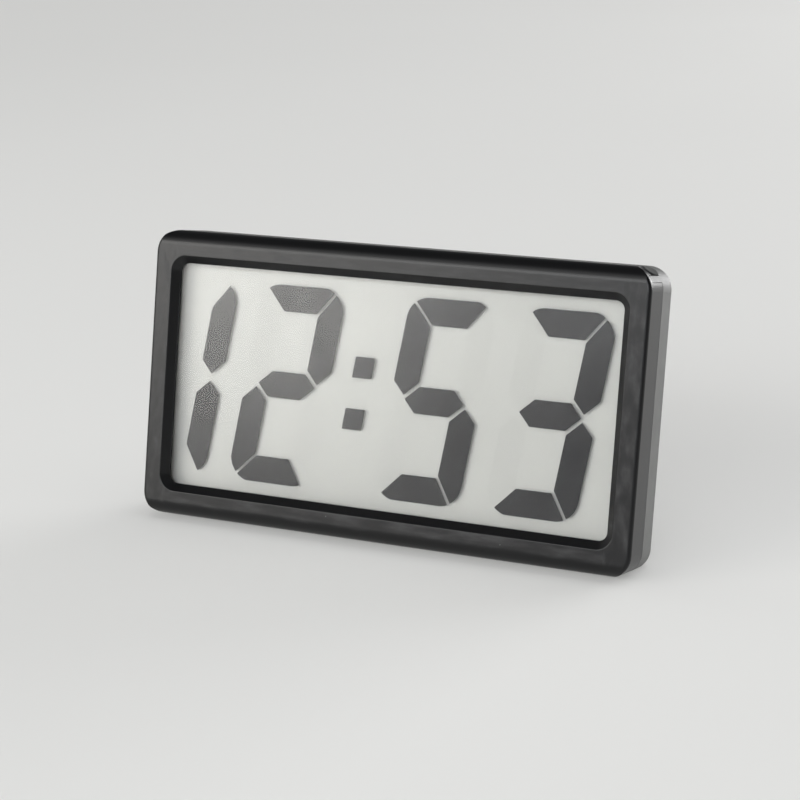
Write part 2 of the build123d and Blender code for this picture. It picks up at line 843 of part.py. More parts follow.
def stand():
    """The fold-out leg, drawn closed in its pocket and then swung open about its trunnions."""
    leg = block(
        (-stand_width / 2, stand_width / 2),
        (hinge_y - tip_radius, hinge_y + tip_radius),
        (hinge_z - leg_length, hinge_z + heel_height),
    )
    leg += rod_along_x(tip_radius, stand_width, 0, hinge_y, hinge_z - leg_length)
    bottom = hinge_z - leg_length - tip_radius
    height = hinge_z + heel_height - bottom
    plan = Pos(0, bottom + height / 2) * Rectangle(stand_width, height)
    plan = fillet(plan.vertices().group_by(Axis.Y)[0], stand_corner_radius)
    leg &= slab(plan, hinge_y - stand_thickness, 2 * stand_thickness)
    groove_z = bottom + stand_groove_rise
    groove_half = stand_width / 2 - stand_groove_inset
    groove = block(
        (-groove_half, groove_half),
        (hinge_y + tip_radius - stand_groove_depth, hinge_y + stand_thickness),
        (groove_z - stand_groove_height / 2, groove_z + stand_groove_height / 2),
    )
    pins = rod_along_x(trunnion_radius, stand_width + 2 * trunnion_length, 0, hinge_y, hinge_z)
    swing = Pos(0, hinge_y, hinge_z) * Rot(X=stand_open_angle) * Pos(0, -hinge_y, -hinge_z)
    return swing * (leg - groove + pins)


def build():
    """All pieces by name, on the upright case."""
    set_x, adjust_x = button_places
    return {
        "front_bezel": front_bezel(),
        "rear_cover": rear_cover(),
        "window_lens": window_lens(),
        "lens_gasket": lens_gasket(),
        "front_polariser": front_polariser(),
        "front_glass": front_glass(),
        "display_seal": display_seal(),
        "display_segments": display_segments(),
        "unlit_segments": unlit_segments(),
        "rear_glass": rear_glass(),
        "rear_reflector": rear_reflector(),
        "display_holder": display_holder(),
        "elastomer_connector": elastomer_connector(),
        "circuit_board": circuit_board(),
        "controller_blob": controller_blob(),
        "quartz_crystal": quartz_crystal(),
        "chip_components": chip_components(),
        "switch_bodies": switch_bodies(),
        "set_switch_plunger": switch_plunger(set_x),
        "adjust_switch_plunger": switch_plunger(adjust_x),
        "set_button": push_button(set_x),
        "adjust_button": push_button(adjust_x),
        "coin_cell": coin_cell(),
        "battery_contact_positive": battery_contact_positive(),
        "battery_contact_negative": battery_contact_negative(),
        "battery_door": battery_door(),
        "stand": stand(),
    }


os.makedirs("parts", exist_ok=True)
for name, piece in build().items():
    export_step(stance * piece, f"parts/{name}.step")
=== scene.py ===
"""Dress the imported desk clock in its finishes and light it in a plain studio."""

import logging
import math
from abc import ABC, abstractmethod
from collections.abc import Callable
from dataclasses import dataclass
from enum import Enum
from typing import Union

import bpy
from mathutils import Euler, Matrix, Vector


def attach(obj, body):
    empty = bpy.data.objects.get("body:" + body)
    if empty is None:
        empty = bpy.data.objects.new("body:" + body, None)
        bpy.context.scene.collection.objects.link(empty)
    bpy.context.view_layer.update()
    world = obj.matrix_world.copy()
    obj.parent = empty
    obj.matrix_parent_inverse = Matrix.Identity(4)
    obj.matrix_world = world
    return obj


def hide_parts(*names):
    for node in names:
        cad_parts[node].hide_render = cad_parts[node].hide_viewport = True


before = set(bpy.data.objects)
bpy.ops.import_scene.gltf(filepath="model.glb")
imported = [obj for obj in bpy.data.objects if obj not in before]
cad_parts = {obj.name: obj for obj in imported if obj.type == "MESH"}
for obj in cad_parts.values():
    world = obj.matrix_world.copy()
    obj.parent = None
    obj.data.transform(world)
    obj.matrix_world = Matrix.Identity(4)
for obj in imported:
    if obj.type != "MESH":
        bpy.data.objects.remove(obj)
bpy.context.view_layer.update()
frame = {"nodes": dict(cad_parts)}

MM = 0.001
NOISE_LOW = 0.3
NOISE_HIGH = 0.7
WAVE_PERIOD = 0.314
SMOOTH_BELOW = math.radians(35)
CLEAR_LAYERS = 24
LOG = logging.getLogger("desk_clock")
Colour = tuple[float, float, float]
Place = tuple[float, float, float]
Feed = Union[float, tuple[float, ...], bpy.types.NodeSocket]


class Mark(Enum):
    """The two raised marks that show how far the battery door is turned."""

    LOCKED = "locked"
    OPEN = "open"


class Sight(Enum):
    """Which rays find a lamp."""

    ALL = "all"
    DIFFUSE_ONLY = "diffuse_only"
    GLOSSY_ONLY = "glossy_only"


def shaded(colour: Colour, share: float) -> Colour:
    """A colour, made lighter or darker.

    Args:
        colour: The colour.
        share: The factor on each channel.

    Returns:
        The changed colour.
    """
    return tuple(channel * share for channel in colour)


class ShaderGraph:
    """A material's node tree, with short calls for the nodes that the finishes share."""

    def __init__(self, name: str) -> None:
        """Start an empty tree.

        Args:
            name: The material's name.
        """
        self.material = bpy.data.materials.new(name)
        self.material.use_nodes = True
        self.tree = self.material.node_tree
        self.tree.nodes.clear()
        self.coords = self.tree.nodes.new("ShaderNodeTexCoord").outputs["Object"]

    def _feed(self, value: Feed, socket: bpy.types.NodeSocket) -> None:
        """Link or set an input.

        Args:
            value: A socket to link, or a constant.
            socket: The input.
        """
        if isinstance(value, bpy.types.NodeSocket):
            self.tree.links.new(value, socket)
        else:
            socket.default_value = value

    def node(self, kind: str, **values: Feed) -> bpy.types.Node:
        """Add a node and set or link its inputs.

        Args:
            kind: The node's type name.
            values: Input names, with spaces as underscores, and a number, colour or socket for each.

        Returns:
            The new node.
        """
        made = self.tree.nodes.new(kind)
        for name, value in values.items():
            self._feed(value, made.inputs[name.replace("_", " ")])
        return made

    def stretched(self, scale: Place) -> bpy.types.NodeSocket:
        """Object coordinates, scaled along each axis.

        Args:
            scale: The factor along X, Y and Z.

        Returns:
            The scaled coordinates.
        """
        return self.node("ShaderNodeMapping", Vector=self.coords, Scale=scale).outputs["Vector"]

    def noise(self, size: float, detail: float = 2.0, stretch: Place = (1, 1, 1)) -> bpy.types.NodeSocket:
        """Cloudy noise.

        Args:
            size: The usual width of a patch, in metres.
            detail: Octaves of finer noise.
            stretch: Extra factor along each axis, below 1 to draw the patches out.

        Returns:
            The noise, from 0 to 1.
        """
        vector = self.stretched(stretch)
        return self.node("ShaderNodeTexNoise", Vector=vector, Scale=1 / size, Detail=detail).outputs[0]

    def spread(
        self, value: bpy.types.NodeSocket, start: float, end: float, low: float = 0.0, high: float = 1.0
    ) -> bpy.types.NodeSocket:
        """Carry a stretch of values over to another, and hold what lies beyond its ends.

        Args:
            value: The value.
            start: Where the stretch starts.
            end: Where it ends.
            low: What its start gives.
            high: What its end gives.

        Returns:
            The new value.
        """
        limits = {"From_Min": start, "From_Max": end, "To_Min": low, "To_Max": high}
        return self.node("ShaderNodeMapRange", Value=value, **limits).outputs[0]

    def remap(self, value: bpy.types.NodeSocket, low: float, high: float) -> bpy.types.NodeSocket:
        """Spread the middle of a noise over a range.

        Args:
            value: The noise.
            low: What its dark patches give.
            high: What its light patches give.

        Returns:
            The spread value.
        """
        return self.spread(value, NOISE_LOW, NOISE_HIGH, low, high)

    def ramp(self, value: bpy.types.NodeSocket, low: Colour, high: Colour) -> bpy.types.NodeSocket:
        """Blend two colours over the middle of a noise.

        Args:
            value: The noise.
            low: The colour of its dark patches.
            high: The colour of its light patches.

        Returns:
            The colour.
        """
        made = self.node("ShaderNodeValToRGB", Fac=value)
        for stop, place, colour in zip(made.color_ramp.elements, (NOISE_LOW, NOISE_HIGH), (low, high)):
            stop.position = place
            stop.color = (*colour, 1)
        return made.outputs["Color"]

    def maths(self, operation: str, first: Feed, second: Feed = 0.0) -> bpy.types.NodeSocket:
        """Work with two numbers, and keep the result between 0 and 1.

        Args:
            operation: The name of the operation.
            first: The first number.
            second: The second number, where the operation has one.

        Returns:
            The result.
        """
        made = self.tree.nodes.new("ShaderNodeMath")
        made.operation = operation
        made.use_clamp = True
        for value, socket in zip((first, second), made.inputs):
            self._feed(value, socket)
        return made.outputs[0]

    def measure(self, operation: str, *vectors: Feed) -> bpy.types.NodeSocket:
        """Work out a number from one or two vectors.

        Args:
            operation: The name of the operation.
            vectors: The vectors.

        Returns:
            The number.
        """
        made = self.tree.nodes.new("ShaderNodeVectorMath")
        made.operation = operation
        for vector, socket in zip(vectors, made.inputs):
            self._feed(vector, socket)
        return made.outputs["Value"]

    def blend(
        self, share: Feed, first: bpy.types.NodeSocket, second: bpy.types.NodeSocket
    ) -> bpy.types.NodeSocket:
        """Blend two shaders.

        Args:
            share: How much of the second shows.
            first: The first shader.
            second: The second shader.

        Returns:
            The blended shader.
        """
        made = self.tree.nodes.new("ShaderNodeMixShader")
        for value, socket in zip((share, first, second), made.inputs):
            self._feed(value, socket)
        return made.outputs[0]

    def tinted(self, share: Feed, first: Feed, second: Feed) -> bpy.types.NodeSocket:
        """Blend two colours.

        Args:
            share: How much of the second shows.
            first: The first colour.
            second: The second colour.

        Returns:
            The blended colour.
        """
        return self.node("ShaderNodeMixRGB", Fac=share, Color1=first, Color2=second).outputs[0]

    def bump(self, height: bpy.types.NodeSocket, depth: float, strength: float = 1.0) -> bpy.types.NodeSocket:
        """Relief from a height.

        Args:
            height: The height, from 0 to 1.
            depth: The depth that 1 stands for, in metres.
            strength: How much of it shows.

        Returns:
            The bent normal.
        """
        return self.node("ShaderNodeBump", Height=height, Distance=depth, Strength=strength).outputs["Normal"]

    def principled(self, **values: Feed) -> bpy.types.NodeSocket:
        """The usual surface shader.

        Args:
            values: Its inputs, as in node.

        Returns:
            The shader.
        """
        return self.node("ShaderNodeBsdfPrincipled", **values).outputs["BSDF"]

    def close(self, surface: bpy.types.NodeSocket) -> bpy.types.Material:
        """Join a shader to the output.

        Args:
            surface: The shader.

        Returns:
            The finished material.
        """
        self.node("ShaderNodeOutputMaterial", Surface=surface)
        return self.material


class WorldGraph(ShaderGraph):
    """The node tree of the light all round."""

    def __init__(self, name: str) -> None:
        """Start an empty tree.

        Args:
            name: The world's name.
        """
        self.world = bpy.data.worlds.new(name)
        self.world.use_nodes = True
        self.tree = self.world.node_tree
        self.tree.nodes.clear()
        self.coords = self.tree.nodes.new("ShaderNodeTexCoord").outputs["Generated"]

    def close(self, surface: bpy.types.NodeSocket) -> bpy.types.World:
        """Join a shader to the output.

        Args:
            surface: The shader.

        Returns:
            The finished world.
        """
        self.node("ShaderNodeOutputWorld", Surface=surface)
        return self.world


class Finish(ABC):
    """What a surface is made of and how it was treated."""

    name: str

    @abstractmethod
    def material(self) -> bpy.types.Material:
        """The finish as a material."""


@dataclass(frozen=True)
class MouldedPlastic(Finish):
    """Moulded plastic with a fine eroded texture and the sheen of handling on it."""

    name: str
    colour: Colour
    roughness: float
    roughness_drift: float = 0.06
    colour_drift: float = 0.18
    grain: float = 0.16 * MM
    grain_depth: float = 0.006 * MM
    smudge: float = 9 * MM
    specular: float = 0.5
    cloud_share: float = 0.6
    cloud_stretch: Place = (1, 1, 0.7)
    smudge_stretch: Place = (0.5, 1, 1)

    def gloss(self, graph: ShaderGraph, marks: bpy.types.NodeSocket) -> bpy.types.NodeSocket:
        """The plastic's roughness.

        Args:
            graph: The material's tree.
            marks: The noise that it follows.

        Returns:
            The roughness, either side of its usual value.
        """
        smoothest = self.roughness - self.roughness_drift
        return graph.remap(marks, smoothest, self.roughness + self.roughness_drift)

    def surface(
        self, graph: ShaderGraph, base: bpy.types.NodeSocket, gloss: bpy.types.NodeSocket
    ) -> bpy.types.Material:
        """Lay the fine grain under a colour and a roughness.

        Args:
            graph: The material's tree.
            base: The colour.
            gloss: The roughness.

        Returns:
            The finished material.
        """
        relief = graph.bump(graph.noise(self.grain, 3), self.grain_depth)
        shader = graph.principled(
            Base_Color=base, Roughness=gloss, Normal=relief, Specular_IOR_Level=self.specular
        )
        return graph.close(shader)

    def material(self) -> bpy.types.Material:
        """The plastic as a material.

        Returns:
            Colour clouds, handling marks in the gloss and a fine grain in the relief.
        """
        graph = ShaderGraph(self.name)
        cloud = graph.noise(self.smudge * self.cloud_share, 3, self.cloud_stretch)
        dark = shaded(self.colour, 1 - self.colour_drift)
        light = shaded(self.colour, 1 + self.colour_drift)
        marks = graph.noise(self.smudge, 5, self.smudge_stretch)
        return self.surface(graph, graph.ramp(cloud, dark, light), self.gloss(graph, marks))


@dataclass(frozen=True)
class WipedPlastic(MouldedPlastic):
    """The frame's plastic: a satin front, wiped along its rails and a little dusty, and polished edges."""

    front: Place = (0, -0.9781, 0.2079)
    edge_facing: float = 0.975
    front_facing: float = 0.999
    polish: float = 0.3
    film: Colour = (0.028, 0.028, 0.029)
    level_stretch: Place = (0.25, 1, 1)
    upright_stretch: Place = (1, 1, 0.4)
    streak_contrast: float = 2.0
    dust: Colour = (0.2, 0.2, 0.2)
    dust_gap: float = 3.5 * MM
    speck_share: float = 0.035
    side_rail: float = 42 * MM

    def _streaks(self, graph: ShaderGraph) -> bpy.types.NodeSocket:
        """Wiping marks.

        Args:
            graph: The material's tree.

        Returns:
            Streaks, from 0 to 1, upright on the side rails and level on the others.
        """
        level = graph.noise(self.smudge, 5, self.level_stretch)
        upright = graph.noise(self.smudge, 5, self.upright_stretch)
        across = graph.node("ShaderNodeSeparateXYZ", Vector=graph.coords).outputs["X"]
        on_side = graph.maths("GREATER_THAN", graph.maths("ABSOLUTE", across), self.side_rail)
        marks = graph.remap(graph.tinted(on_side, level, upright), 0, 1)
        return graph.maths("POWER", marks, self.streak_contrast)

    def material(self) -> bpy.types.Material:
        """The frame's plastic as a material.

        Returns:
            Streaks along each rail and specks of dust on the flat front, and clean glossy edges.
        """
        graph = ShaderGraph(self.name)
        streaks = self._streaks(graph)
        normal = graph.node("ShaderNodeTexCoord").outputs["Normal"]
        facing = graph.measure("DOT_PRODUCT", normal, self.front)
        flat = graph.spread(facing, self.edge_facing, self.front_facing)
        wiped = graph.maths("MULTIPLY", streaks, flat)
        hazed = graph.tinted(wiped, (*self.colour, 1), (*self.film, 1))
        cells = graph.node("ShaderNodeTexVoronoi", Vector=graph.coords, Scale=1 / self.dust_gap)
        spot = graph.maths("LESS_THAN", cells.outputs["Distance"], self.speck_share)
        base = graph.tinted(graph.maths("MULTIPLY", spot, wiped), hazed, (*self.dust, 1))
        polish = (self.polish, self.polish, self.polish, 1)
        return self.surface(graph, base, graph.tinted(flat, polish, self.gloss(graph, streaks)))


@dataclass(frozen=True)
class ClearPane(Finish):
    """A clear pane or film that shines softly on its front."""

    name: str
    tint: Colour
    roughness: float
    index: float = 1.49
    haze: float = 14 * MM
    haze_drift: float = 0.03

    def material(self) -> bpy.types.Material:
        """The pane as a material.

        Returns:
            Light passes straight through, and only the outer side of each face mirrors.
        """
        graph = ShaderGraph(self.name)
        fresnel = graph.node("ShaderNodeFresnel", IOR=self.index).outputs[0]
        back = graph.node("ShaderNodeNewGeometry").outputs["Backfacing"]
        share = graph.maths("MULTIPLY", fresnel, graph.maths("SUBTRACT", 1.0, back))
        haze = graph.noise(self.haze, 4)
        gloss = graph.remap(haze, self.roughness - self.haze_drift, self.roughness + self.haze_drift)
        clear = graph.node("ShaderNodeBsdfTransparent", Color=(*self.tint, 1)).outputs[0]
        shine = graph.node("ShaderNodeBsdfGlossy", Color=(1, 1, 1, 1), Roughness=gloss).outputs[0]
        return graph.close(graph.blend(share, clear, shine))


@dataclass(frozen=True)
class FaintCrystal(Finish):
    """A segment that is switched off: almost clear, a little greyer than the film behind it."""

    name: str
    colour: Colour
    cover: float
    cloud: float = 3 * MM
    dark_share: float = 0.9
    light_share: float = 1.1
    roughness: float = 0.6

    def material(self) -> bpy.types.Material:
        """The faint segment as a material.

        Returns:
            A thin grey veil.
        """
        graph = ShaderGraph(self.name)
        cloud = graph.noise(self.cloud)
        base = graph.ramp(cloud, shaded(self.colour, self.dark_share), shaded(self.colour, self.light_share))
        return graph.close(graph.principled(Base_Color=base, Roughness=self.roughness, Alpha=self.cover))


@dataclass(frozen=True)
class SilverFilm(Finish):
    """The reflector: a pale silver film with a very fine even grain."""

    name: str
    colour: Colour
    grain: float = 0.07 * MM
    grain_depth: float = 0.002 * MM
    grain_strength: float = 0.6
    dark_share: float = 0.97
    light_share: float = 1.03
    cloud: float = 6 * MM
    smoothest: float = 0.52
    roughest: float = 0.62
    specular: float = 0.15

    def material(self) -> bpy.types.Material:
        """The film as a material.

        Returns:
            A fine sparkle on a faintly uneven ground.
        """
        graph = ShaderGraph(self.name)
        grain = graph.noise(self.grain, 2)
        base = graph.ramp(grain, shaded(self.colour, self.dark_share), shaded(self.colour, self.light_share))
        relief = graph.bump(grain, self.grain_depth, self.grain_strength)
        gloss = graph.remap(graph.noise(self.cloud, 3), self.smoothest, self.roughest)
        shader = graph.principled(
            Base_Color=base, Roughness=gloss, Normal=relief, Specular_IOR_Level=self.specular
        )
        return graph.close(shader)


@dataclass(frozen=True)
class PlatedMetal(Finish):
    """Plated or drawn metal with fine lines from the tool."""

    name: str
    colour: Colour
    roughness: float
    lines: Place = (1, 1, 0.04)
    line_width: float = 0.12 * MM
    line_depth: float = 0.004 * MM
    line_strength: float = 0.7
    smoother: float = 0.06
    rougher: float = 0.08
    tarnish: float = 4 * MM
    dark_share: float = 0.86
    light_share: float = 1.06

    def material(self) -> bpy.types.Material:
        """The metal as a material.

        Returns:
            Drawn lines in relief and gloss, and a little tarnish in the colour.
        """
        graph = ShaderGraph(self.name)
        drawn = graph.noise(self.line_width, 3, self.lines)
        tarnish = graph.noise(self.tarnish, 4)
        dark = shaded(self.colour, self.dark_share)
        base = graph.ramp(tarnish, dark, shaded(self.colour, self.light_share))
        gloss = graph.remap(drawn, self.roughness - self.smoother, self.roughness + self.rougher)
        relief = graph.bump(drawn, self.line_depth, self.line_strength)
        return graph.close(graph.principled(Base_Color=base, Metallic=1.0, Roughness=gloss, Normal=relief))


@dataclass(frozen=True)
class BoardLaminate(Finish):
    """Green solder mask over copper tracks on glass laminate."""

    name: str
    mask: Colour
    copper: Colour
    track: float = 1.1 * MM
    track_rise: float = 0.02 * MM
    track_edge: float = 0.06
    through_depth: Place = (1, 0.02, 1)
    light_share: float = 1.25
    cloud: float = 2 * MM
    smoothest: float = 0.28
    roughest: float = 0.42

    def material(self) -> bpy.types.Material:
        """The board as a material.

        Returns:
            Tracks that show through the mask as lighter raised lanes.
        """
        graph = ShaderGraph(self.name)
        lanes = graph.node(
            "ShaderNodeTexBrick",
            Vector=graph.stretched(self.through_depth),
            Scale=1 / self.track,
            Mortar_Size=self.track_edge,
            Color1=(*self.mask, 1),
            Color2=(*shaded(self.mask, self.light_share), 1),
            Mortar=(*self.copper, 1),
        )
        relief = graph.bump(lanes.outputs["Fac"], self.track_rise)
        gloss = graph.remap(graph.noise(self.cloud, 3), self.smoothest, self.roughest)
        shader = graph.principled(Base_Color=lanes.outputs["Color"], Roughness=gloss, Normal=relief)
        return graph.close(shader)


@dataclass(frozen=True)
class LayeredRubber(Finish):
    """Connector rubber, built up from thin dark and pale layers."""

    name: str
    dark: Colour
    pale: Colour
    layer: float = 0.1 * MM
    layer_depth: float = 0.01 * MM
    layer_strength: float = 0.5
    waviness: float = 0.4
    along: Place = (1, 0.02, 0.02)
    roughness: float = 0.7

    def material(self) -> bpy.types.Material:
        """The rubber as a material.

        Returns:
            Stripes across the strip, with a dull skin.
        """
        graph = ShaderGraph(self.name)
        vector = graph.stretched(self.along)
        scale = WAVE_PERIOD / self.layer
        bands = graph.node("ShaderNodeTexWave", Vector=vector, Scale=scale, Distortion=self.waviness)
        wave = bands.outputs["Fac"]
        base = graph.ramp(wave, self.dark, self.pale)
        relief = graph.bump(wave, self.layer_depth, self.layer_strength)
        return graph.close(graph.principled(Base_Color=base, Roughness=self.roughness, Normal=relief))


@dataclass(frozen=True)
class CellFoam(Finish):
    """Closed-cell foam with small open pores on its cut edge."""

    name: str
    colour: Colour
    pore: float = 0.2 * MM
    pore_depth: float = 0.05 * MM
    # dark_share sets the painted shade in each pit; light_share sets the lighter rims between pits
    dark_share: float = 0.6
    light_share: float = 1.3
    roughness: float = 0.9

    def material(self) -> bpy.types.Material:
        """The foam as a material.

        Returns:
            Small pits in relief, with painted shade that darkens the colour towards each pit's middle.
        """
        graph = ShaderGraph(self.name)
        cells = graph.node("ShaderNodeTexVoronoi", Vector=graph.coords, Scale=1 / self.pore)
        pores = cells.outputs["Distance"]
        # Painted shade: the colour follows the pit depth, darkest where the relief is lowest
        base = graph.ramp(pores, shaded(self.colour, self.dark_share), shaded(self.colour, self.light_share))
        relief = graph.bump(pores, self.pore_depth)
        return graph.close(graph.principled(Base_Color=base, Roughness=self.roughness, Normal=relief))


class Finishes:
    """The clock's finishes, each made once."""

    BEZEL = WipedPlastic("bezel_satin_black", (0.004, 0.004, 0.0045), 0.37, specular=0.34, smudge=1.6 * MM)
    COVER = MouldedPlastic(
        "cover_dark_grey",
        (0.12, 0.121, 0.118),
        0.48,
        colour_drift=0.05,
        grain=0.22 * MM,
        grain_depth=0.01 * MM,
    )
    KEY = MouldedPlastic("key_grey", (0.13, 0.13, 0.135), 0.42, smudge=3 * MM)
    PLUNGER = MouldedPlastic("plunger_black", (0.03, 0.03, 0.03), 0.4, smudge=2 * MM)
    HOLDER = MouldedPlastic("holder_white", (0.72, 0.72, 0.69), 0.45, colour_drift=0.03)
    SEGMENT = MouldedPlastic(
        "segment_dark", (0.03, 0.03, 0.032), 0.6, colour_drift=0.12, grain_depth=0.001 * MM, specular=0.0
    )
    GLUE = MouldedPlastic("seal_glue", (0.55, 0.55, 0.5), 0.35, colour_drift=0.08, smudge=2 * MM)
    EPOXY = MouldedPlastic("epoxy_drop", (0.012, 0.012, 0.012), 0.2, grain=0.6 * MM, smudge=2 * MM)
    CERAMIC = MouldedPlastic("chip_ceramic", (0.42, 0.3, 0.2), 0.5, smudge=1 * MM)
    LENS = ClearPane("lens_clear", (0.997, 0.997, 0.996), 0.2, 1.36)
    POLARISER = ClearPane("polariser_film", (0.992, 0.992, 0.99), 0.25, 1.36)
    GLASS = ClearPane("display_glass", (0.998, 0.999, 0.998), 0.05, 1.02)
    FAINT = FaintCrystal("segment_faint", (0.35, 0.35, 0.35), 0.012)
    FILM = SilverFilm("reflector_silver", (0.53, 0.53, 0.513))
    FOAM = CellFoam("gasket_foam", (0.02, 0.02, 0.02))
    BOARD = BoardLaminate("board_green", (0.015, 0.11, 0.045), (0.05, 0.2, 0.08))
    RUBBER = LayeredRubber("connector_rubber", (0.06, 0.06, 0.06), (0.5, 0.42, 0.4))
    STEEL = PlatedMetal("switch_steel", (0.55, 0.55, 0.54), 0.34)
    CAN = PlatedMetal("crystal_can", (0.7, 0.7, 0.69), 0.26, (0.04, 1, 1))
    CELL = PlatedMetal("cell_steel", (0.68, 0.68, 0.66), 0.3, (0.05, 1, 1))
    CONTACT = PlatedMetal("contact_nickel", (0.66, 0.62, 0.54), 0.28)

    def __init__(self) -> None:
        """Start with none made."""
        self._made: dict[str, bpy.types.Material] = {}

    def of(self, finish: Finish) -> bpy.types.Material:
        """The material of a finish.

        Args:
            finish: One of the finishes above.

        Returns:
            Its material, made at the first call.
        """
        if finish.name not in self._made:
            self._made[finish.name] = finish.material()
        return self._made[finish.name]


@dataclass(frozen=True)
class Stance:
    """How the upright case stands: leaned back, with its foot on the surface."""

    lean: float = math.radians(12)
    shift_back: float = -5.9199 * MM
    shift_up: float = 26.5564 * MM

    def matrix(self) -> Matrix:
        """From the upright case to the standing clock."""
        return Matrix.Translation((0, self.shift_back, self.shift_up)) @ Matrix.Rotation(-self.lean, 4, "X")

    def point(self, x: float, y: float, z: float) -> Vector:
        """A point of the upright case, on the standing clock.

        Args:
            x: To the right, in metres.
            y: Back from the front face.
            z: Up along the face.

        Returns:
            The point in the row frame.
        """
        return self.matrix() @ Vector((x, y, z))

    def turn_to_back(self) -> Euler:
        """The turn that points a piece's Z axis straight out of the back."""
        return Euler((-math.pi / 2 - self.lean, 0, 0))

    def turn_upright(self) -> Euler:
        """The turn that leans an upright piece back with the case."""
        return Euler((-self.lean, 0, 0))

    def reach(self, node: bpy.types.Object) -> tuple[Vector, Vector]:
        """A node's box on the upright case.

        Args:
            node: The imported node.

        Returns:
            Its lowest and its highest corner.
        """
        upright = self.matrix().inverted()
        points = [upright @ vertex.co for vertex in node.data.vertices]
        columns = list(zip(*points))
        return Vector([min(column) for column in columns]), Vector([max(column) for column in columns])


class Bench:
    """Hand tools for one piece that lies on the bench: pick faces or edges, then shape what is picked."""

    def __init__(self, name: str) -> None:
        """Take up the piece that was added last.

        Args:
            name: The piece's name.
        """
        self.piece = bpy.context.object
        self.piece.name = name
        self.piece.data.name = name

    @staticmethod
    def clear() -> None:
        """Lay everything else aside."""
        bpy.ops.object.select_all(action="DESELECT")

    def pick_faces(self, wanted: Callable[[Vector, Vector], bool]) -> None:
        """Select faces and stay in edit mode.

        Args:
            wanted: Tells from a face's centre and normal whether it is picked.
        """
        self._drop("FACE")
        for face in self.piece.data.polygons:
            face.select = wanted(face.center, face.normal)
        bpy.ops.object.mode_set(mode="EDIT")

    def pick_edges(self, wanted: Callable[[Vector, Vector], bool]) -> None:
        """Select edges and stay in edit mode.

        Args:
            wanted: Tells from an edge's two ends whether it is picked.
        """
        self._drop("EDGE")
        points = self.piece.data.vertices
        for edge in self.piece.data.edges:
            edge.select = wanted(*(points[index].co for index in edge.vertices))
        bpy.ops.object.mode_set(mode="EDIT")

    def _drop(self, kind: str) -> None:
        """Leave edit mode with nothing selected.

        Args:
            kind: Whether faces or edges are worked on next.
        """
        bpy.ops.object.mode_set(mode="EDIT")
        bpy.ops.mesh.select_mode(type=kind)
        bpy.ops.mesh.select_all(action="DESELECT")
        bpy.ops.object.mode_set(mode="OBJECT")

    def finish(self) -> bpy.types.Object:
        """Take the piece off the bench.

        Returns:
            The piece, smooth but for its sharp edges, with its place in its mesh.
        """
        bpy.ops.object.mode_set(mode="OBJECT")
        bpy.ops.object.shade_smooth_by_angle(angle=SMOOTH_BELOW)
        bpy.ops.object.transform_apply(location=True, rotation=True, scale=True)
        return self.piece


@dataclass
class SubAssembly(ABC):
    """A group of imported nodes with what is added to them."""

    nodes: dict[str, bpy.types.Object]
    finishes: Finishes

    def wear(self, worn: dict[str, Finish]) -> None:
        """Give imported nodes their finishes.

        Args:
            worn: The finish of each node, by the node's name.
        """
        for node, finish in worn.items():
            for slot in self.nodes[node].material_slots:
                slot.material = self.finishes.of(finish)
            LOG.info("%s: %s", node, finish.name)

    def add(self, piece: bpy.types.Object, finish: Finish, body: str, slot: str) -> None:
        """Put a new piece on its body.

        Args:
            piece: The finished piece.
            finish: Its finish.
            body: The body that it rides on.
            slot: Not used.
        """
        piece.data.materials.clear()
        piece.data.materials.append(self.finishes.of(finish))
        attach(piece, body)
        LOG.info("%s: new piece on %s", piece.name, body)

    @abstractmethod
    def dress(self) -> None:
        """Build the new pieces and give every node its finish."""


@dataclass
class FrontCase(SubAssembly):
    """The frame with its lens and gasket."""

    def dress(self) -> None:
        """Give the front its finishes."""
        self.wear({
            "front_bezel": Finishes.BEZEL,
            "window_lens": Finishes.LENS,
            "lens_gasket": Finishes.FOAM,
        })


@dataclass
class DisplayCell(SubAssembly):
    """The liquid-crystal cell between its films."""

    stance: Stance = Stance()
    face_grind: float = 0.02 * MM
    edge_grind: float = 0.08 * MM

    def pane(self, node: str) -> bpy.types.Object:
        """A display pane, ground a hair thinner so that its faces stay clear of the crystal and the films.

        Args:
            node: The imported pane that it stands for.

        Returns:
            The pane, with ground edges.
        """
        low, high = self.stance.reach(self.nodes[node])
        size = high - low
        size.y -= 2 * self.face_grind
        Bench.clear()
        bpy.ops.mesh.primitive_cube_add(
            size=1,
            location=self.stance.point(*((low + high) / 2)),
            rotation=self.stance.turn_upright(),
            scale=size,
        )
        bench = Bench(f"{node}_pane")
        bpy.ops.object.transform_apply(location=False, rotation=False, scale=True)
        bench.pick_edges(lambda one, other: True)
        bpy.ops.mesh.bevel(offset=self.edge_grind, segments=2, affect="EDGES")
        return bench.finish()

    def dress(self) -> None:
        """Set in the two ground panes and give the layers their finishes."""
        for node in ("front_glass", "rear_glass"):
            pane = self.pane(node)
            self.add(pane, Finishes.GLASS, "case", "display_glass")
            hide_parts(node)
        self.wear({
            "front_polariser": Finishes.POLARISER,
            "display_seal": Finishes.GLUE,
            "display_segments": Finishes.SEGMENT,
            "unlit_segments": Finishes.FAINT,
            "rear_reflector": Finishes.FILM,
        })


@dataclass
class Electronics(SubAssembly):
    """The board with its parts, the connector and the cell that feeds it."""

    def dress(self) -> None:
        """Give the inner pieces their finishes."""
        self.wear({
            "display_holder": Finishes.HOLDER,
            "elastomer_connector": Finishes.RUBBER,
            "circuit_board": Finishes.BOARD,
            "controller_blob": Finishes.EPOXY,
            "quartz_crystal": Finishes.CAN,
            "chip_components": Finishes.CERAMIC,
            "switch_bodies": Finishes.STEEL,
            "set_switch_plunger": Finishes.PLUNGER,
            "adjust_switch_plunger": Finishes.PLUNGER,
            "coin_cell": Finishes.CELL,
            "battery_contact_positive": Finishes.CONTACT,
            "battery_contact_negative": Finishes.CONTACT,
        })


